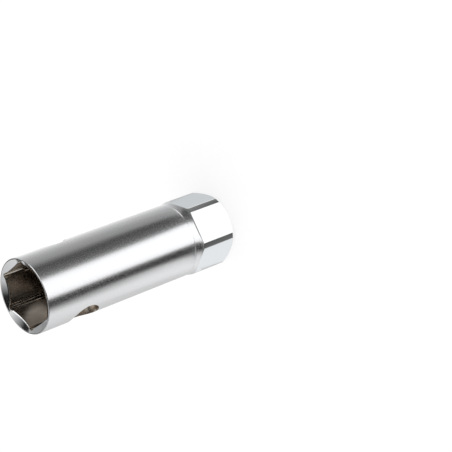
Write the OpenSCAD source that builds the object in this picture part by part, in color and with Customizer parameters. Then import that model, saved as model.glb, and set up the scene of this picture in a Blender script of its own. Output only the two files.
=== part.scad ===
// Spark plug socket: one turned and forged steel piece that stands on its drive end, mouth up.
// The origin is the centre of the drive face, +Z runs along the axis to the mouth,
// and -Y is square to one flat of the drive hexagon.

/* [Tube] */
// Overall length, from drive face to mouth
length = 86; // [76:1:110]
// Outside diameter of the satin tube
tube_d = 27; // [26.6:0.1:27.8]
// Radius of the outer edge at the mouth
mouth_round = 0.3; // [0.1:0.05:0.4]

/* [Plug hexagon] */
// Size across the flats of the plug hexagon that goes into the mouth
plug_af = 20.8; // [19.5:0.1:21]
// Gap between the plug hexagon and each flat of the cavity
plug_gap = 0.15; // [0.05:0.05:0.25]
// Depth of the hexagon, from the mouth
hex_depth = 34; // [26:1:44]
// Radius of the relief groove in each corner
relief_r = 1.25; // [0.9:0.05:1.4]
// How far a relief groove reaches past the sharp corner of the hexagon
relief_over = 0.12; // [0.02:0.01:0.2]
// Wall that always stays between the cavity's corners and the outside of the tube
corner_wall = 1.1; // [0.8:0.05:1.5]
// Depth at which the countersink meets the middle of the flats
countersink_depth = 1.2; // [0.8:0.1:2]
// Width of the flat ring between the countersink and the rounded outer edge
rim_land = 0.15; // [0.05:0.05:0.25]
// Turn of the plug hexagon and the cross hole about the axis, against the drive end
plug_turn = 4.7; // [0:0.1:30]

/* [Cross hole] */
// Diameter of the hole through both walls
cross_d = 12; // [8:0.5:13]
// Distance from the mouth to the axis of the hole
cross_depth = 18; // [12:0.2:24]

/* [Bore] */
// Diameter of the round bore behind the hexagon
bore_d = 20.4; // [16:0.2:20.8]
// Depth of the full bore, from the mouth
bore_depth = 62; // [46:1:62]
// Angle of the conical floor of the bore
floor_angle = 118; // [90:1:150]
// Diameter of the passage between the bore and the square
passage_d = 8.4; // [6:0.2:9]

/* [Drive end] */
// Size across the flats of the drive hexagon
drive_af = 25.2; // [24.4:0.1:26.4]
// Diameter over the rounded corners of the drive hexagon
corner_d = 28; // [27.9:0.05:28.6]
// Length of the flats, from the drive face to their front edge
flat_len = 16; // [12:0.5:17]
// Slope of the run-out in front of each flat
runout_angle = 38; // [30:1:60]
// Chamfer on the rim of the drive face
drive_chamfer = 1.8; // [1:0.1:2.2]
// Distance from the drive face to the end of the satin tube
rim_z = 19.5; // [18.5:0.1:22]
// Diameter of the neck where it meets the tube
neck_d = 26.5; // [26:0.05:26.55]
// Radius of the hollow sweep from the neck up to the corners
neck_sweep = 9; // [8:0.5:16]
// Axial length of the broken edge at the end of the tube
rim_run = 0.5; // [0.2:0.1:1]

/* [Square drive] */
// Size of the square that drives the socket
drive_size = 9.525; // [9.4:0.005:9.7]
// Gap between that square and each side of its hole
drive_gap = 0.05; // [0.02:0.01:0.15]
// Depth of the square hole
square_depth = 13; // [11:0.5:16]
// Depth at which the lead-in cone meets the middle of the sides
lead_in_depth = 1.3; // [0.8:0.1:2]
// How far the lead-in cone opens past the corners of the square
lead_in_margin = 0.3; // [0.1:0.1:0.8]
// Distance from the drive face to the middle of the detent groove
detent_z = 5.5; // [5:0.1:7]
// Radius of the detent groove's section
detent_r = 1.8; // [1.2:0.1:2.2]
// Depth of the detent groove in the sides
detent_depth = 0.7; // [0.4:0.1:1]

/* [Hidden] */
$fn = 96;

// Overlap of a cutter past the surface that it opens
over = 1;

tube_r = tube_d / 2;
corner_r = corner_d / 2;
neck_r = neck_d / 2;
bore_r = bore_d / 2;
passage_r = passage_d / 2;

// Cavity for the plug hexagon
plug_h = plug_af / 2 + plug_gap;
plug_corner_r = plug_h / cos(30);
relief_centre_r = plug_corner_r + relief_over - relief_r;
hex_floor_z = length - hex_depth;

// Countersink, as a cone through the mouth ring and the middle of the flats
mouth_r = tube_r - mouth_round - rim_land;
countersink_slope = (mouth_r - plug_h) / countersink_depth;

// Round bore and its conical floor
bore_z = length - bore_depth;
floor_h = (bore_r - passage_r) / tan(floor_angle / 2);

// Square hole and its lead-in cone
square_w = drive_size + 2 * drive_gap;
lead_in_r = square_w / 2 * sqrt(2) + lead_in_margin;
lead_in_slope = (lead_in_r - square_w / 2) / lead_in_depth;

// Half section of the turned outside: drive end, hollow neck, tube and rounded mouth edge
module outside_section() {
    difference() {
        union() {
            polygon([
                [0, 0],
                [corner_r - drive_chamfer, 0],
                [corner_r, drive_chamfer],
                [corner_r, rim_z],
                [neck_r, rim_z],
                [tube_r, rim_z + rim_run],
                [tube_r, length - mouth_round],
                [tube_r - mouth_round, length],
                [0, length]
            ]);
            translate([tube_r - mouth_round, length - mouth_round]) circle(mouth_round);
        }
        intersection() {
            translate([neck_r + neck_sweep, rim_z]) circle(neck_sweep);
            square([corner_r + over, rim_z]);
        }
    }
}

// Section of the plug cavity: a hexagon with a round relief in each corner, inside the tube's wall
module plug_section() {
    intersection() {
        union() {
            rotate(30) circle(plug_corner_r, $fn = 6);
            for (corner = [30 : 60 : 330]) {
                rotate(corner) translate([relief_centre_r, 0]) circle(relief_r);
            }
        }
        circle(tube_r - corner_wall);
    }
}

// Hexagon with a conical inner end, and the countersink at its mouth
module plug_cavity() {
    translate([0, 0, hex_floor_z]) intersection() {
        linear_extrude(hex_depth + over) plug_section();
        cylinder(h = hex_depth + over, r1 = bore_r, r2 = bore_r + hex_depth + over);
    }
    translate([0, 0, length - countersink_depth]) cylinder(
        h = countersink_depth + over,
        r1 = plug_h,
        r2 = plug_h + (countersink_depth + over) * countersink_slope
    );
}

// Round bore, its conical floor and the passage to the square
module inner_bore() {
    translate([0, 0, bore_z]) cylinder(h = bore_depth + over, r = bore_r);
    translate([0, 0, bore_z - floor_h]) cylinder(h = floor_h, r1 = passage_r, r2 = bore_r);
    cylinder(h = bore_z, r = passage_r);
}

// Square hole with its lead-in cone and the detent groove round its sides
module square_drive() {
    translate([-square_w / 2, -square_w / 2, -over]) cube([square_w, square_w, square_depth + over]);
    translate([0, 0, -over]) cylinder(
        h = lead_in_depth + over,
        r1 = lead_in_r + over * lead_in_slope,
        r2 = square_w / 2
    );
    rotate_extrude() translate([square_w / 2 + detent_depth - detent_r, detent_z]) circle(detent_r);
}

// Hole through both walls, square to two flats of the plug hexagon
module cross_hole() {
    translate([0, 0, length - cross_depth]) rotate([0, 90, 0]) cylinder(
        h = tube_d + 2 * over,
        r = cross_d / 2,
        center = true
    );
}

// Block that cuts one flat of the drive hexagon, with a sloped run-out in front of it
module flat_cutter() {
    reach = corner_r - drive_af / 2 + over;
    rotate([90, 0, 0]) linear_extrude(2 * corner_r, center = true) translate([drive_af / 2, 0]) polygon([
        [0, -over],
        [0, flat_len],
        [reach, flat_len + reach / tan(runout_angle)],
        [reach, -over]
    ]);
}

module socket_body() {
    color("silver") difference() {
        rotate_extrude() outside_section();
        for (flat = [30 : 60 : 330]) {
            rotate(flat) flat_cutter();
        }
        rotate(plug_turn) {
            plug_cavity();
            cross_hole();
        }
        inner_bore();
        square_drive();
    }
}

socket_body();
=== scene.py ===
"""Looks of the spark plug socket: satin chrome tube, bright drive end and mouth, dull inside."""

import math

import bmesh
import bpy
from mathutils import Matrix, Vector


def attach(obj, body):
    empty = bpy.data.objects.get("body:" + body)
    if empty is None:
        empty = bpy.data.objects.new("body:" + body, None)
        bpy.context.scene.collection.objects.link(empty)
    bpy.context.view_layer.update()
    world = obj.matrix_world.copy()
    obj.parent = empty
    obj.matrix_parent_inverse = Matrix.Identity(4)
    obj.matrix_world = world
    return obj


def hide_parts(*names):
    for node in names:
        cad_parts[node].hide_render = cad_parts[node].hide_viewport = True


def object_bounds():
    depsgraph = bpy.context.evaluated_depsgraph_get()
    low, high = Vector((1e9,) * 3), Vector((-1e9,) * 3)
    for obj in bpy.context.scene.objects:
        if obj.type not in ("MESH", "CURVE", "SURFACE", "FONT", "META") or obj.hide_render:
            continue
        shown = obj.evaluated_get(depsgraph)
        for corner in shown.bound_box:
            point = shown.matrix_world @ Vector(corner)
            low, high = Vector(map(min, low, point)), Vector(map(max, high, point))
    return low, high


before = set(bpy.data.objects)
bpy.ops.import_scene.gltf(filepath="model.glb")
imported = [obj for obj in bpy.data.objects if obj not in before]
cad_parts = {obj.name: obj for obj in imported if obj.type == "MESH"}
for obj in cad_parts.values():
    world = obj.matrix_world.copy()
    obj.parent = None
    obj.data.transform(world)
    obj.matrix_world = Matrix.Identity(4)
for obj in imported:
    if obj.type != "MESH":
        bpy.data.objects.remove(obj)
CAD_LOW, CAD_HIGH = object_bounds()

# All lengths are millimetres in the CAD frame, and MM turns them into Blender's metres.
# Directions on the floor are degrees from +X.
MM = 0.001

# Sizes that the CAD box gives
LENGTH = CAD_HIGH.z / MM
CORNER_R = CAD_HIGH.x / MM

# Degrees from the middle of a hexagon's side to its corner,
# and the six directions of the drive end's flats and of the plug cavity's corners
HEX_HALF = 30
HEX_DIRECTIONS = range(HEX_HALF, 360, 2 * HEX_HALF)

# Tube and neck
TUBE_R = 13.5
MOUTH_ROUND = 0.3
RIM_Z = 19.5
RIM_RUN = 0.5
NECK_R = 13.25
NECK_SWEEP = 9.0

# Plug cavity, bore and cross hole
PLUG_H = 10.55
PLUG_CORNER_R = PLUG_H / math.cos(math.radians(HEX_HALF))
RELIEF_R = 1.25
RELIEF_OVER = 0.12
RELIEF_CENTRE_R = PLUG_CORNER_R + RELIEF_OVER - RELIEF_R
HEX_DEPTH = 34.0
COUNTERSINK_DEPTH = 1.2
RIM_LAND = 0.15
PLUG_TURN = math.radians(4.7)
BORE_R = 10.2
BORE_DEPTH = 62.0
PASSAGE_R = 4.2
BORE_CONE_HALF = math.radians(59)
CROSS_R = 6.0
CROSS_DEPTH = 18.0

# Drive end
FLAT_H = 12.6
FLAT_LENGTH = 16.0
RUNOUT_SLOPE = math.tan(math.radians(38))
DRIVE_CHAMFER = 1.8
SQUARE_H = 4.8125
SQUARE_DEPTH = 13.0
LEAD_IN_DEPTH = 1.3
LEAD_IN_MARGIN = 0.3
DETENT_Z = 5.5
DETENT_R = 1.8
DETENT_DEPTH = 0.7

# A cutter reaches this far past the surface that it opens, the detent's cutter less
OVER = 1.0
DETENT_OVER = 0.2

# Of the faces of a flat's cutter, only the run-out leans towards the mouth by more than this
RUNOUT_LEAN = 0.1

# Facets round the tube, round a hole, round a corner relief, along a small arc and over a broken edge
TUBE_STEPS = 240
HOLE_STEPS = 96
RELIEF_STEPS = 14
ARC_STEPS = 8
EDGE_STEPS = 3

# The edges of the real socket are broken by polishing, most of all the lip of the plug cavity
EDGE_BREAK = 0.1
LIP_BREAK = 0.35
EDGE_ANGLE = math.radians(22)

# Finishes, as material slots of the socket; the last one is the flats' run-outs, painted near black as
# shade
SATIN, BRIGHT, DULL, GROOVE, SHADED_RUNOUT = range(5)

# Satin chrome: two sizes of grain
SATIN_COLOUR = (0.9, 0.905, 0.915)
SATIN_ROUGHNESS = (0.2, 0.29)
COARSE_GRAIN = 0.7
COARSE_HEIGHT = 0.003
FINE_GRAIN = 0.3
FINE_HEIGHT = 0.002

# Bright chrome: waves and scuffs
BRIGHT_COLOUR = (0.92, 0.93, 0.94)
BRIGHT_ROUGHNESS = (0.06, 0.14)
WAVE_SIZE = 4.0
WAVE_HEIGHT = 0.008
SCUFF_SIZE = 0.5
SCUFF_STRETCH = 4.0
SCUFF_HEIGHT = 0.0006

# Plating inside: darkest and palest stain on the walls and in the corner grooves, stains and streaks;
# the stains are shifted so that the far wall deep inside comes out darker as painted shade, and a wall
# lit through the cross hole paler as painted light
DULL_COLOURS = ((0.36, 0.3, 0.25), (0.88, 0.8, 0.7))
DULL_ROUGHNESS = (0.17, 0.25)
GROOVE_COLOURS = ((0.66, 0.6, 0.53), (0.95, 0.9, 0.82))
GROOVE_ROUGHNESS = (0.06, 0.1)
STAIN_SIZE = 13.0
STAIN_STRETCH = 1.5
STAIN_AND_SHADE_SHIFT = (-4, -3, 18)
STAIN_HEIGHT = 0.004
STREAK_SIZE = 0.7
STREAK_STRETCH = 14.0
STREAK_HEIGHT = 0.001

# Milled run-outs: painted shade, a near-black colour for the dark line where the flats run out, with
# cutter marks as roughness and bumps
RUNOUT_SHADE_COLOUR = (0.05, 0.05, 0.05)
MILLED_ROUGHNESS = (0.35, 0.5)
MARK_SIZE = 0.25
MARK_HEIGHT = 0.004

# Part of a noise's range that a finish uses
NOISE_LOW = 0.3
NOISE_HIGH = 0.7

# Camera, from the fit to the photograph: place, angles in degrees, lens, sensor and nearest sight
CAMERA_AT = Vector((-40.2, -437.29, 357.97)) * MM
CAMERA_AZIMUTH = 5.0
CAMERA_ELEVATION = 39.75
CAMERA_ROLL = 110.81
LENS = 121.49
SENSOR = 36.0
CLIP_START = 10.0

# Direction from the socket to the camera
CAMERA_SIDE = -90 - CAMERA_AZIMUTH

# White of the floor and of the room
WHITE = (1, 1, 1, 1)

# Floor: its size, its paper, and how much of what the eye sees there is plain white
FLOOR_HALF = 3000.0
PAPER = (0.95, 0.95, 0.95, 1)
FLOOR_GLOW = 0.8

# Heights of the floor and of the cards that lie on it
FLOOR_Z = -0.05
BACK_CARD_Z = -0.04
FAR_CARD_Z = -0.03
NEAR_CARD_Z = -0.01

# Soft lamp overhead
LAMP_AT = Vector((-200, 100, 1000)) * MM
LAMP_AIM = Vector((0, 0, 40)) * MM
LAMP_SIZE = 900.0
LAMP_WATTS = 9

# Brightness of the white room: as a light, and as the eye or a reflection sees it
ROOM_LIGHT = 0.55
ROOM_SEEN = 1.0

# Rings of the far cards on the floor, measured from the foot of the tube,
# and the height of their raised edge
CARD_NEAR = 22.0
CARD_MIDDLE = 150.0
CARD_FAR = 600.0
CARD_RISE = 200.0

# Far cards: the direction at the near ring, the direction further out, and the greys at the three rings
FAR_TONES = [
    (-265, -265, 0.6, 0.55, 0.1),
    (-205, -205, 0.84, 0.74, 0.6),
    (-175, -175, 0.78, 0.84, 0.6),
    (-150, -150, 0.0, 0.0, 0.15),
    (-129, -129, 0.0, 0.0, 0.15),
    (-124.5, -124.5, 1.15, 1.15, 1.0),
    (-63, -76, 1.15, 1.15, 1.0),
    (-55, -67.5, 0.2, 0.2, 0.25),
    (-48, -58, 0.11, 0.11, 0.2),
    (-30, -32, 0.04, 0.04, 0.2),
    (-14, -14, 0.29, 0.29, 0.3),
    (16, 16, 0.46, 0.44, 0.4),
    (40, 40, 0.66, 0.72, 0.45),
    (70, 70, 1.0, 1.25, 0.3),
    (95, 95, 1.1, 1.3, 0.1),
]

# Flats of the drive end that the camera sees: their directions, and how far each reaches to its sides
RIGHT_FLAT = -30
FRONT_FLAT = -90
LEFT_FLAT = -150
FLAT_SPAN = math.degrees(math.acos(FLAT_H / CORNER_R))

# Near cards in front of these flats: the flat and its tone
NEAR_REACH = 28.0
FLAT_CARDS = [
    ("flat_right", RIGHT_FLAT, (0.61, 0.635, 0.645)),
    ("flat_left", LEFT_FLAT, (0.83, 0.85, 0.86)),
    ("flat_front", FRONT_FLAT, (1.15, 1.15, 1.15)),
]

# Near cards for the corners between the flats, and for a narrow gap beside the left flat:
# start and end of the foot, directions there, and greys there
GAP = 0.5
CORNER_CARDS = [
    ("corner_right", (FRONT_FLAT + FLAT_SPAN, RIGHT_FLAT - FLAT_SPAN), (-65, -16), (0.11, 0.27)),
    ("corner_left", (LEFT_FLAT + FLAT_SPAN, FRONT_FLAT - FLAT_SPAN), (-160, -128), (0.15, 0.04)),
    ("gap_left", (LEFT_FLAT + FLAT_SPAN - GAP, LEFT_FLAT + FLAT_SPAN), (-205, -160), (0.4, 0.2)),
]

# Card behind the drive end, for the flats that the camera doesn't see:
# its reach, the grey at its foot, and the greys on its rim by direction
BACK_REACH = 60.0
BACK_FOOT_GREY = 0.5
BACK_TONES = [(-5, 0.4), (30, 0.6), (60, 0.75), (95, 0.85), (130, 0.7), (160, 0.55), (195, 0.4)]


def even(corners, level):
    """Corners of an overhead card that has one grey."""
    return [(azimuth, elevation, level) for azimuth, elevation in corners]


# Cards overhead: corners as azimuth and elevation in degrees, with one grey or a grey at each
SKY_R = 560.0
DARK = 0.02
SKY_CARDS = [
    ("back", even([(68, 9), (100, 9), (100, 36), (68, 36)], DARK)),
    ("ring", even([(66, 36), (106, 36), (106, 46), (66, 46)], 0.35)),
    ("left", [
        (102, 12, 0.68), (132, 9, 0.68), (160, 36, 0.6),
        (172, 56, 0.5), (137, 60, 0.54), (102, 60, 0.54),
    ]),
    ("left_low", even([(134, 8), (175, 8), (175, 60), (162, 36)], DARK)),
    ("left_fade", [
        (95, 56, 0.58), (140, 56, 0.58), (185, 54, 0.58),
        (215, 75, DARK), (140, 75, DARK), (65, 75, DARK),
    ]),
    ("front_left", even([(-188, 9), (-108, 9), (-108, 75), (-188, 75)], DARK)),
    ("front", [(-108, 9, 0.4), (-35, 9, 0.5), (-35, 75, 0.5), (-108, 75, 0.4)]),
    ("front_right", even([(-8, 5), (16, 5), (16, 46), (-8, 52)], 0.45)),
    ("glint", even([(-34, 8), (-8, 8), (-8, 52), (-34, 56)], 1.2)),
    ("zenith", even([(azimuth, 74) for azimuth in range(0, 360, 45)], 0.01)),
    ("right_fade", [(-10, 74, 0.85), (60, 74, 0.85), (58, 47, DARK), (12, 47, DARK)]),
    ("right_dark", even([(12, 48), (58, 48), (60, 36), (20, 36)], DARK)),
    ("right_low", [(20, 36, 0.47), (70, 36, 0.47), (95, 8, 0.15), (30, 8, 0.52)]),
]


# Shapes

def put_in_scene(thing):
    """Links an object to the scene."""
    bpy.context.scene.collection.objects.link(thing)


def arc(centre, radius, start, end, steps):
    """Points on an arc from one angle to another, in degrees, both ends included."""
    angles = [math.radians(start + (end - start) * i / steps) for i in range(steps + 1)]
    return [(centre[0] + radius * math.cos(a), centre[1] + radius * math.sin(a)) for a in angles]


def square_outline(half):
    """Corners of a square round the axis."""
    return [(-half, -half), (half, -half), (half, half), (-half, half)]


def mesh_object(name, bm, finishes):
    """Turns a bmesh in millimetres into an object that carries all finishes."""
    bmesh.ops.scale(bm, vec=Vector((MM, MM, MM)), verts=bm.verts)
    bmesh.ops.recalc_face_normals(bm, faces=bm.faces)
    mesh = bpy.data.meshes.new(name)
    bm.to_mesh(mesh)
    bm.free()
    for material in finishes:
        mesh.materials.append(material)
    thing = bpy.data.objects.new(name, mesh)
    put_in_scene(thing)
    return thing


def all_over(finish):
    """Finish of a turned solid that is the same at every height."""
    return lambda z: finish


def lathe(name, profile, finishes, finish_at, steps=TUBE_STEPS):
    """Closed solid of revolution. The profile's first and last points are the rims of its ends."""
    bm = bmesh.new()
    spin = [2 * math.pi * i / steps for i in range(steps)]
    rings = []
    for r, z in profile:
        rings.append([bm.verts.new((r * math.cos(a), r * math.sin(a), z)) for a in spin])
    for low, high, (_, z0), (_, z1) in zip(rings, rings[1:], profile, profile[1:]):
        for i in range(steps):
            j = (i + 1) % steps
            face = bm.faces.new((low[i], low[j], high[j], high[i]))
            face.material_index = finish_at((z0 + z1) / 2)
    for ring, (_, z) in ((rings[0], profile[0]), (rings[-1], profile[-1])):
        bm.faces.new(ring).material_index = finish_at(z)
    return mesh_object(name, bm, finishes)


def prism(name, outline, low, high, finishes, finish):
    """Straight prism over an outline of (x, y) points."""
    bm = bmesh.new()
    floor = [bm.verts.new((x, y, low)) for x, y in outline]
    roof = [bm.verts.new((x, y, high)) for x, y in outline]
    bm.faces.new(floor)
    bm.faces.new(roof)
    for i in range(len(outline)):
        j = (i + 1) % len(outline)
        bm.faces.new((floor[i], floor[j], roof[j], roof[i]))
    for face in bm.faces:
        face.material_index = finish
    return mesh_object(name, bm, finishes)


def carve(body, cutter, operation="DIFFERENCE"):
    """Cuts a solid out of a body, or keeps what both share, and removes the cutter."""
    cut = body.modifiers.new("cut", "BOOLEAN")
    cut.operation = operation
    cut.solver = "EXACT"
    cut.object = cutter
    bpy.context.view_layer.update()
    graph = bpy.context.evaluated_depsgraph_get()
    made = bpy.data.meshes.new_from_object(body.evaluated_get(graph))
    body.modifiers.remove(cut)
    old = body.data
    body.data = made
    bpy.data.meshes.remove(old)
    bpy.data.objects.remove(cutter)


def turn(thing, angle, axis="Z"):
    """Turns a mesh about an axis of the frame."""
    thing.data.transform(Matrix.Rotation(angle, 4, axis))
    return thing


def outside(finishes):
    """The turned blank: drive end, hollow neck, tube and rounded mouth edge."""
    neck_rise = CORNER_R - NECK_R
    neck_turn = math.degrees(math.acos(1 - neck_rise / NECK_SWEEP))
    neck_foot = RIM_Z - NECK_SWEEP * math.sin(math.radians(neck_turn))
    profile = [(CORNER_R - DRIVE_CHAMFER, 0.0), (CORNER_R, DRIVE_CHAMFER)]
    profile += arc((NECK_R + NECK_SWEEP, RIM_Z), NECK_SWEEP, 180 + neck_turn, 180, 2 * ARC_STEPS)
    profile.append((TUBE_R, RIM_Z + RIM_RUN))
    profile += arc((TUBE_R - MOUTH_ROUND, LENGTH - MOUTH_ROUND), MOUTH_ROUND, 0, 90, ARC_STEPS)

    def finish_at(z):
        return SATIN if neck_foot < z < LENGTH - MOUTH_ROUND else BRIGHT

    return lathe("socket", profile, finishes, finish_at)


def flat_cutter(finishes):
    """Block that cuts one flat of the drive hexagon, with a sloped run-out that stays as milled and is
    painted near black as shade.
    """
    far = CORNER_R + OVER
    runout = FLAT_LENGTH + (far - FLAT_H) / RUNOUT_SLOPE
    side = [(FLAT_H, -OVER), (far, -OVER), (far, runout), (FLAT_H, FLAT_LENGTH)]
    block = prism("flat", side, -CORNER_R, CORNER_R, finishes, BRIGHT)
    for face in block.data.polygons:
        if face.normal.y > RUNOUT_LEAN:
            # The run-out is painted near black as shade
            face.material_index = SHADED_RUNOUT
    return turn(block, math.pi / 2, "X")


def plug_outline():
    """Hexagon with a round relief in each corner, flats square to X, anticlockwise."""
    past_flat = PLUG_H - RELIEF_CENTRE_R * math.cos(math.radians(HEX_HALF))
    reach = HEX_HALF + math.degrees(math.acos(past_flat / RELIEF_R))
    points = []
    for corner in HEX_DIRECTIONS:
        spin = math.radians(corner)
        centre = (RELIEF_CENTRE_R * math.cos(spin), RELIEF_CENTRE_R * math.sin(spin))
        points += arc(centre, RELIEF_R, corner - reach, corner + reach, RELIEF_STEPS)
    return points


def plug_cutter(finishes):
    """Solid that fills the plug cavity, with a conical inner end and smoother grooves in its corners."""
    low = LENGTH - HEX_DEPTH
    cavity = prism("cavity", plug_outline(), low, LENGTH + OVER, finishes, DULL)
    # The facets of the grooves are much narrower than the flats.
    for face in cavity.data.polygons:
        if face.area < RELIEF_R * HEX_DEPTH * MM * MM:
            face.material_index = GROOVE
    cone_h = HEX_DEPTH + 2 * OVER
    cone = [(BORE_R, low), (BORE_R + cone_h, low + cone_h)]
    carve(cavity, lathe("cavity_end", cone, finishes, all_over(DULL), HOLE_STEPS), "INTERSECT")
    return cavity


def bore_cutter(finishes):
    """Round bore behind the plug cavity, its conical floor and the passage to the square hole."""
    floor_z = LENGTH - BORE_DEPTH
    floor_h = (BORE_R - PASSAGE_R) / math.tan(BORE_CONE_HALF)
    profile = [
        (PASSAGE_R, -OVER),
        (PASSAGE_R, floor_z - floor_h),
        (BORE_R, floor_z),
        (BORE_R, LENGTH + OVER),
    ]
    return lathe("bore", profile, finishes, all_over(DULL), HOLE_STEPS)


def countersink_cutter(finishes):
    """Cone that opens the mouth and meets the flats of the plug cavity in scallops."""
    mouth_r = TUBE_R - MOUTH_ROUND - RIM_LAND
    slope = (mouth_r - PLUG_H) / COUNTERSINK_DEPTH
    profile = [(PLUG_H, LENGTH - COUNTERSINK_DEPTH), (mouth_r + OVER * slope, LENGTH + OVER)]
    return lathe("countersink", profile, finishes, all_over(BRIGHT))


def lead_in_cutter(finishes):
    """Cone that opens the square hole."""
    lead_r = SQUARE_H * math.sqrt(2) + LEAD_IN_MARGIN
    slope = (lead_r - SQUARE_H) / LEAD_IN_DEPTH
    profile = [(lead_r + OVER * slope, -OVER), (SQUARE_H, LEAD_IN_DEPTH)]
    return lathe("lead_in", profile, finishes, all_over(BRIGHT), HOLE_STEPS)


def detent_cutter(finishes):
    """Ring that cuts the detent groove into the sides of the square hole."""
    half = math.degrees(math.acos((DETENT_R - DETENT_DEPTH - DETENT_OVER) / DETENT_R))
    centre = (SQUARE_H + DETENT_DEPTH - DETENT_R, DETENT_Z)
    profile = arc(centre, DETENT_R, -half, half, ARC_STEPS)
    return lathe("detent", profile, finishes, all_over(DULL), HOLE_STEPS)


def cross_cutter(finishes):
    """Bar that cuts the cross hole, square to two flats of the plug cavity."""
    profile = [(CROSS_R, -LENGTH / 2), (CROSS_R, LENGTH / 2)]
    bar = lathe("cross", profile, finishes, all_over(DULL), HOLE_STEPS)
    turn(bar, math.pi / 2, "Y")
    turn(bar, PLUG_TURN)
    bar.data.transform(Matrix.Translation((0, 0, (LENGTH - CROSS_DEPTH) * MM)))
    return bar


def break_edges(body):
    """Rounds the sharp edges a little, the lip of the cavity more, and the milled run-outs, painted dark
    as shade, not at all.
    """
    bm = bmesh.new()
    bm.from_mesh(body.data)
    share = bm.edges.layers.float.new("bevel_weight_edge")
    lip_z = (LENGTH - 2 * COUNTERSINK_DEPTH) * MM
    for edge in bm.edges:
        if len(edge.link_faces) != 2 or edge.calc_face_angle() < EDGE_ANGLE:
            continue
        sides = {face.material_index for face in edge.link_faces}
        if SHADED_RUNOUT in sides:
            continue
        on_lip = sides == {BRIGHT, DULL} and min(vert.co.z for vert in edge.verts) > lip_z
        edge[share] = 1 if on_lip else EDGE_BREAK / LIP_BREAK
    bm.to_mesh(body.data)
    bm.free()
    broken = body.modifiers.new("broken_edges", "BEVEL")
    broken.width = LIP_BREAK * MM
    broken.segments = EDGE_STEPS
    broken.limit_method = "WEIGHT"
    broken.use_clamp_overlap = False
    broken.harden_normals = True


def socket(finishes):
    """The whole socket, one closed mesh with broken edges."""
    body = outside(finishes)
    for flat in HEX_DIRECTIONS:
        carve(body, turn(flat_cutter(finishes), math.radians(flat)))
    carve(body, turn(plug_cutter(finishes), PLUG_TURN))
    carve(body, bore_cutter(finishes))
    carve(body, countersink_cutter(finishes))
    carve(body, prism("square", square_outline(SQUARE_H), -OVER, SQUARE_DEPTH, finishes, DULL))
    carve(body, lead_in_cutter(finishes))
    carve(body, detent_cutter(finishes))
    carve(body, cross_cutter(finishes))
    body.data.polygons.foreach_set("use_smooth", [True] * len(body.data.polygons))
    body.data.set_sharp_from_angle(angle=EDGE_ANGLE)
    break_edges(body)
    return body


# Finishes

def shader_of(material):
    """Shader node of a metal."""
    return material.node_tree.nodes["Principled BSDF"]


def metal(name, colour):
    """Bare metal."""
    material = bpy.data.materials.new(name)
    material.use_nodes = True
    shader = shader_of(material)
    shader.inputs["Base Color"].default_value = (*colour, 1)
    shader.inputs["Metallic"].default_value = 1
    return material


def noise(material, size, detail, stretch=1.0, shift=(0, 0, 0)):
    """Noise with spots of a size, drawn out along the socket's axis and shifted where asked."""
    nodes = material.node_tree.nodes
    links = material.node_tree.links
    place = nodes.new("ShaderNodeTexCoord")
    mapping = nodes.new("ShaderNodeMapping")
    mapping.inputs["Scale"].default_value = (1, 1, 1 / stretch)
    mapping.inputs["Location"].default_value = [c * MM for c in shift]
    texture = nodes.new("ShaderNodeTexNoise")
    texture.inputs["Scale"].default_value = 1 / (size * MM)
    texture.inputs["Detail"].default_value = detail
    links.new(place.outputs["Object"], mapping.inputs["Vector"])
    links.new(mapping.outputs["Vector"], texture.inputs["Vector"])
    return texture.outputs["Fac"]


def vary_roughness(material, signal, limits):
    """Lets the roughness follow a noise between two limits."""
    spread = material.node_tree.nodes.new("ShaderNodeMapRange")
    spread.inputs["From Min"].default_value = NOISE_LOW
    spread.inputs["From Max"].default_value = NOISE_HIGH
    spread.inputs["To Min"].default_value = limits[0]
    spread.inputs["To Max"].default_value = limits[1]
    links = material.node_tree.links
    links.new(signal, spread.inputs["Value"])
    links.new(spread.outputs["Result"], shader_of(material).inputs["Roughness"])


def vary_colour(material, signal, limits):
    """Lets the colour follow a noise between two colours."""
    ramp = material.node_tree.nodes.new("ShaderNodeValToRGB")
    for stop, position, colour in zip(ramp.color_ramp.elements, (NOISE_LOW, NOISE_HIGH), limits):
        stop.position = position
        stop.color = (*colour, 1)
    links = material.node_tree.links
    links.new(signal, ramp.inputs["Fac"])
    links.new(ramp.outputs["Color"], shader_of(material).inputs["Base Color"])


def roughen(material, heights):
    """Chain of bumps from pairs of a noise and its height."""
    nodes = material.node_tree.nodes
    links = material.node_tree.links
    below = None
    for signal, height in heights:
        bump = nodes.new("ShaderNodeBump")
        bump.inputs["Distance"].default_value = height * MM
        links.new(signal, bump.inputs["Height"])
        if below:
            links.new(below, bump.inputs["Normal"])
        below = bump.outputs["Normal"]
    links.new(below, shader_of(material).inputs["Normal"])


def satin_chrome():
    """Blasted and plated: a fine grain that breaks up the reflections."""
    material = metal("satin_chrome", SATIN_COLOUR)
    coarse = noise(material, COARSE_GRAIN, detail=2)
    fine = noise(material, FINE_GRAIN, detail=3)
    vary_roughness(material, fine, SATIN_ROUGHNESS)
    roughen(material, [(coarse, COARSE_HEIGHT), (fine, FINE_HEIGHT)])
    return material


def bright_chrome():
    """Polished and plated, with the slight waviness that polishing leaves."""
    material = metal("bright_chrome", BRIGHT_COLOUR)
    waves = noise(material, WAVE_SIZE, detail=1)
    scuffs = noise(material, SCUFF_SIZE, detail=3, stretch=SCUFF_STRETCH)
    vary_roughness(material, scuffs, BRIGHT_ROUGHNESS)
    roughen(material, [(waves, WAVE_HEIGHT), (scuffs, SCUFF_HEIGHT)])
    return material


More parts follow.
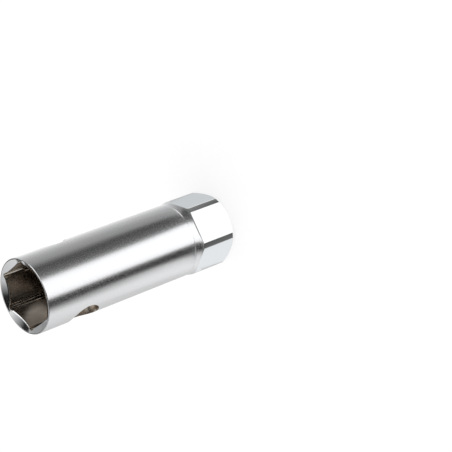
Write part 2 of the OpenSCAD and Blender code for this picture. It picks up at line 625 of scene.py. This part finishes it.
def stained_and_shaded_plating(name, colours, roughness):
    """Thin, stained plating inside, streaked along the axis by the forging punch. Its stains are placed
    so that they also paint shade on the far wall deep inside and light on a wall lit through the cross
    hole.
    """
    material = metal(name, colours[1])
    # Real stains, shifted so that they also paint shade deep inside and light where the cross hole lets
    # it in
    stains_and_shade = noise(material, STAIN_SIZE, detail=3, stretch=STAIN_STRETCH, shift=STAIN_AND_SHADE_SHIFT)
    streaks = noise(material, STREAK_SIZE, detail=3, stretch=STREAK_STRETCH)
    vary_colour(material, stains_and_shade, colours)
    vary_roughness(material, streaks, roughness)
    roughen(material, [(stains_and_shade, STAIN_HEIGHT), (streaks, STREAK_HEIGHT)])
    return material


def runout_painted_shade():
    """Painted shade where the flats run out: a near-black colour, with cutter marks as roughness and
    bumps.
    """
    # Near-black base colour: painted shade
    material = metal("runout_painted_shade", RUNOUT_SHADE_COLOUR)
    marks = noise(material, MARK_SIZE, detail=3)
    vary_roughness(material, marks, MILLED_ROUGHNESS)
    roughen(material, [(marks, MARK_HEIGHT)])
    return material


# Studio: camera, white floor, soft light, and grey cards that only reflections see

def add_camera():
    """Camera that sees the socket as the photograph does."""
    data = bpy.data.cameras.new("camera")
    data.lens = LENS
    data.sensor_width = SENSOR
    data.clip_start = CLIP_START * MM
    camera = bpy.data.objects.new("camera", data)
    put_in_scene(camera)
    heading = Matrix.Rotation(math.radians(-CAMERA_AZIMUTH), 4, "Z")
    tilt = Matrix.Rotation(math.radians(90 - CAMERA_ELEVATION), 4, "X")
    roll = Matrix.Rotation(math.radians(-CAMERA_ROLL), 4, "Z")
    camera.matrix_world = Matrix.Translation(CAMERA_AT) @ heading @ tilt @ roll
    bpy.context.scene.camera = camera


def stage_mesh(name, points, faces, material):
    """Adds a stage object that isn't part of the socket."""
    mesh = bpy.data.meshes.new(name)
    mesh.from_pydata([[c * MM for c in point] for point in points], [], faces)
    mesh.materials.append(material)
    thing = bpy.data.objects.new(name, mesh)
    put_in_scene(thing)
    return thing


def seen_by_eye_or_mirror(nodes, links):
    """One for rays from the camera, a reflection or a clear body, and zero for the rest."""
    path = nodes.new("ShaderNodeLightPath")
    first = nodes.new("ShaderNodeMath")
    first.operation = "MAXIMUM"
    links.new(path.outputs["Is Camera Ray"], first.inputs[0])
    links.new(path.outputs["Is Glossy Ray"], first.inputs[1])
    second = nodes.new("ShaderNodeMath")
    second.operation = "MAXIMUM"
    links.new(first.outputs[0], second.inputs[0])
    links.new(path.outputs["Is Transmission Ray"], second.inputs[1])
    return second.outputs[0]


def blank_material(name):
    """Material with an output and nothing else."""
    material = bpy.data.materials.new(name)
    material.use_nodes = True
    nodes = material.node_tree.nodes
    nodes.remove(nodes["Principled BSDF"])
    return material, nodes, material.node_tree.links


def floor_material():
    """White floor that keeps the shadow and stays white to the camera and in reflections."""
    material, nodes, links = blank_material("floor")
    paper = nodes.new("ShaderNodeBsdfDiffuse")
    paper.inputs["Color"].default_value = PAPER
    glow = nodes.new("ShaderNodeEmission")
    glow.inputs["Color"].default_value = WHITE
    share = nodes.new("ShaderNodeMath")
    share.operation = "MULTIPLY"
    share.inputs[1].default_value = FLOOR_GLOW
    links.new(seen_by_eye_or_mirror(nodes, links), share.inputs[0])
    mix = nodes.new("ShaderNodeMixShader")
    links.new(share.outputs[0], mix.inputs["Fac"])
    links.new(paper.outputs[0], mix.inputs[1])
    links.new(glow.outputs[0], mix.inputs[2])
    links.new(mix.outputs[0], nodes["Material Output"].inputs["Surface"])
    return material


def add_floor():
    """Floor that the socket stands on."""
    corners = [(x, y, FLOOR_Z) for x, y in square_outline(FLOOR_HALF)]
    stage_mesh("floor", corners, [(0, 1, 2, 3)], floor_material())


def card_material():
    """Card that shines with the tone of its corners."""
    material, nodes, links = blank_material("card")
    tone = nodes.new("ShaderNodeAttribute")
    tone.attribute_name = "tone"
    glow = nodes.new("ShaderNodeEmission")
    links.new(tone.outputs["Color"], glow.inputs["Color"])
    links.new(glow.outputs[0], nodes["Material Output"].inputs["Surface"])
    return material


def grey(level):
    """Neutral tone of a card."""
    return (level, level, level)


def card(name, points, faces, tones, material):
    """Card that only reflections see, with a tone at each point."""
    thing = stage_mesh(name, points, faces, material)
    layer = thing.data.color_attributes.new("tone", "FLOAT_COLOR", "POINT")
    for spot, tone in zip(layer.data, tones):
        spot.color = (*tone, 1)
    thing.visible_camera = False
    thing.visible_diffuse = False
    thing.visible_shadow = False
    thing.visible_transmission = False
    thing.visible_volume_scatter = False


def ray_point(radius, foot, direction, reach, z):
    """Point at a height, and at a reach from a foot of the socket along a direction."""
    foot = math.radians(foot)
    direction = math.radians(direction)
    x = radius * math.cos(foot) + reach * math.cos(direction)
    y = radius * math.sin(foot) + reach * math.sin(direction)
    return (x, y, z)


def far_cards(material):
    """Fan of cards round the tube. Each direction starts at the part of the tube that mirrors it."""
    points = []
    tones = []
    for direction, further, near, middle, far in FAR_TONES:
        foot = (direction + CAMERA_SIDE) / 2
        points.append(ray_point(TUBE_R, foot, direction, CARD_NEAR, FAR_CARD_Z))
        points.append(ray_point(TUBE_R, foot, further, CARD_MIDDLE, FAR_CARD_Z))
        points.append(ray_point(TUBE_R, foot, further, CARD_FAR, FAR_CARD_Z))
        points.append(ray_point(TUBE_R, foot, further, CARD_FAR, CARD_RISE))
        tones += [grey(level) for level in (near, middle, far, far)]
    rings = len(points) // len(FAR_TONES)
    faces = []
    for i in range(len(points) - rings):
        if i % rings < rings - 1:
            faces.append((i, i + 1, i + 1 + rings, i + rings))
    card("far_cards", points, faces, tones, material)


def near_card(name, feet, directions, tones, material):
    """Small card right at the drive end, between two feet, with a tone along each side."""
    start, end = feet
    first, second = directions
    points = [
        ray_point(CORNER_R, start, first, 0, NEAR_CARD_Z),
        ray_point(CORNER_R, start, first, NEAR_REACH, NEAR_CARD_Z),
        ray_point(CORNER_R, end, second, NEAR_REACH, NEAR_CARD_Z),
        ray_point(CORNER_R, end, second, 0, NEAR_CARD_Z),
    ]
    corner_tones = [tones[0], tones[0], tones[1], tones[1]]
    card("near_" + name, points, [(0, 1, 2, 3)], corner_tones, material)


def near_cards(material):
    """Cards that the camera sees mirrored in the flats and corners of the drive end."""
    for name, flat, tone in FLAT_CARDS:
        feet = (flat - FLAT_SPAN, flat + FLAT_SPAN)
        mirrored = 2 * flat - CAMERA_SIDE
        near_card(name, feet, (mirrored, mirrored), (tone, tone), material)
    for name, feet, directions, levels in CORNER_CARDS:
        near_card(name, feet, directions, [grey(level) for level in levels], material)


def back_card(material):
    """Fan on the floor behind the socket."""
    points = [(0, 0, BACK_CARD_Z)]
    tones = [grey(BACK_FOOT_GREY)]
    for direction, level in BACK_TONES:
        points.append(ray_point(0, 0, direction, BACK_REACH, BACK_CARD_Z))
        tones.append(grey(level))
    faces = [(0, i, i + 1) for i in range(1, len(BACK_TONES))]
    card("back_card", points, faces, tones, material)


def sky_cards(material):
    """Cards overhead, which the countersink mirrors."""
    for name, corners in SKY_CARDS:
        points = []
        tones = []
        for azimuth, elevation, level in corners:
            reach = SKY_R * math.cos(math.radians(elevation))
            z = LENGTH + SKY_R * math.sin(math.radians(elevation))
            points.append(ray_point(0, 0, azimuth, reach, z))
            tones.append(grey(level))
        card("sky_" + name, points, [tuple(range(len(points)))], tones, material)


def add_cards():
    """All cards, in one material."""
    paint = card_material()
    far_cards(paint)
    near_cards(paint)
    back_card(paint)
    sky_cards(paint)


def add_lamp():
    """Square soft lamp overhead, which reflections don't see."""
    data = bpy.data.lights.new("overhead", "AREA")
    data.shape = "SQUARE"
    data.size = LAMP_SIZE * MM
    data.energy = LAMP_WATTS
    lamp = bpy.data.objects.new("overhead", data)
    lamp.visible_glossy = False
    put_in_scene(lamp)
    facing = (LAMP_AT - LAMP_AIM).to_track_quat("Z", "Y").to_matrix().to_4x4()
    lamp.matrix_world = Matrix.Translation(LAMP_AT) @ facing


def light_room():
    """White room that lights the socket less than it shows."""
    world = bpy.data.worlds.new("studio")
    bpy.context.scene.world = world
    world.use_nodes = True
    nodes = world.node_tree.nodes
    links = world.node_tree.links
    backdrop = nodes["Background"]
    backdrop.inputs["Color"].default_value = WHITE
    level = nodes.new("ShaderNodeMapRange")
    level.inputs["To Min"].default_value = ROOM_LIGHT
    level.inputs["To Max"].default_value = ROOM_SEEN
    links.new(seen_by_eye_or_mirror(nodes, links), level.inputs["Value"])
    links.new(level.outputs[0], backdrop.inputs["Strength"])


# The socket in its studio

piece = socket([
    satin_chrome(),
    bright_chrome(),
    stained_and_shaded_plating("dull_plating", DULL_COLOURS, DULL_ROUGHNESS),
    stained_and_shaded_plating("smooth_plating", GROOVE_COLOURS, GROOVE_ROUGHNESS),
    # Run-outs painted near black as shade
    runout_painted_shade(),
])
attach(piece, "root")
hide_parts("socket_body")

add_camera()
add_floor()
add_cards()
add_lamp()
light_room()
bpy.context.scene.view_settings.view_transform = "Standard"
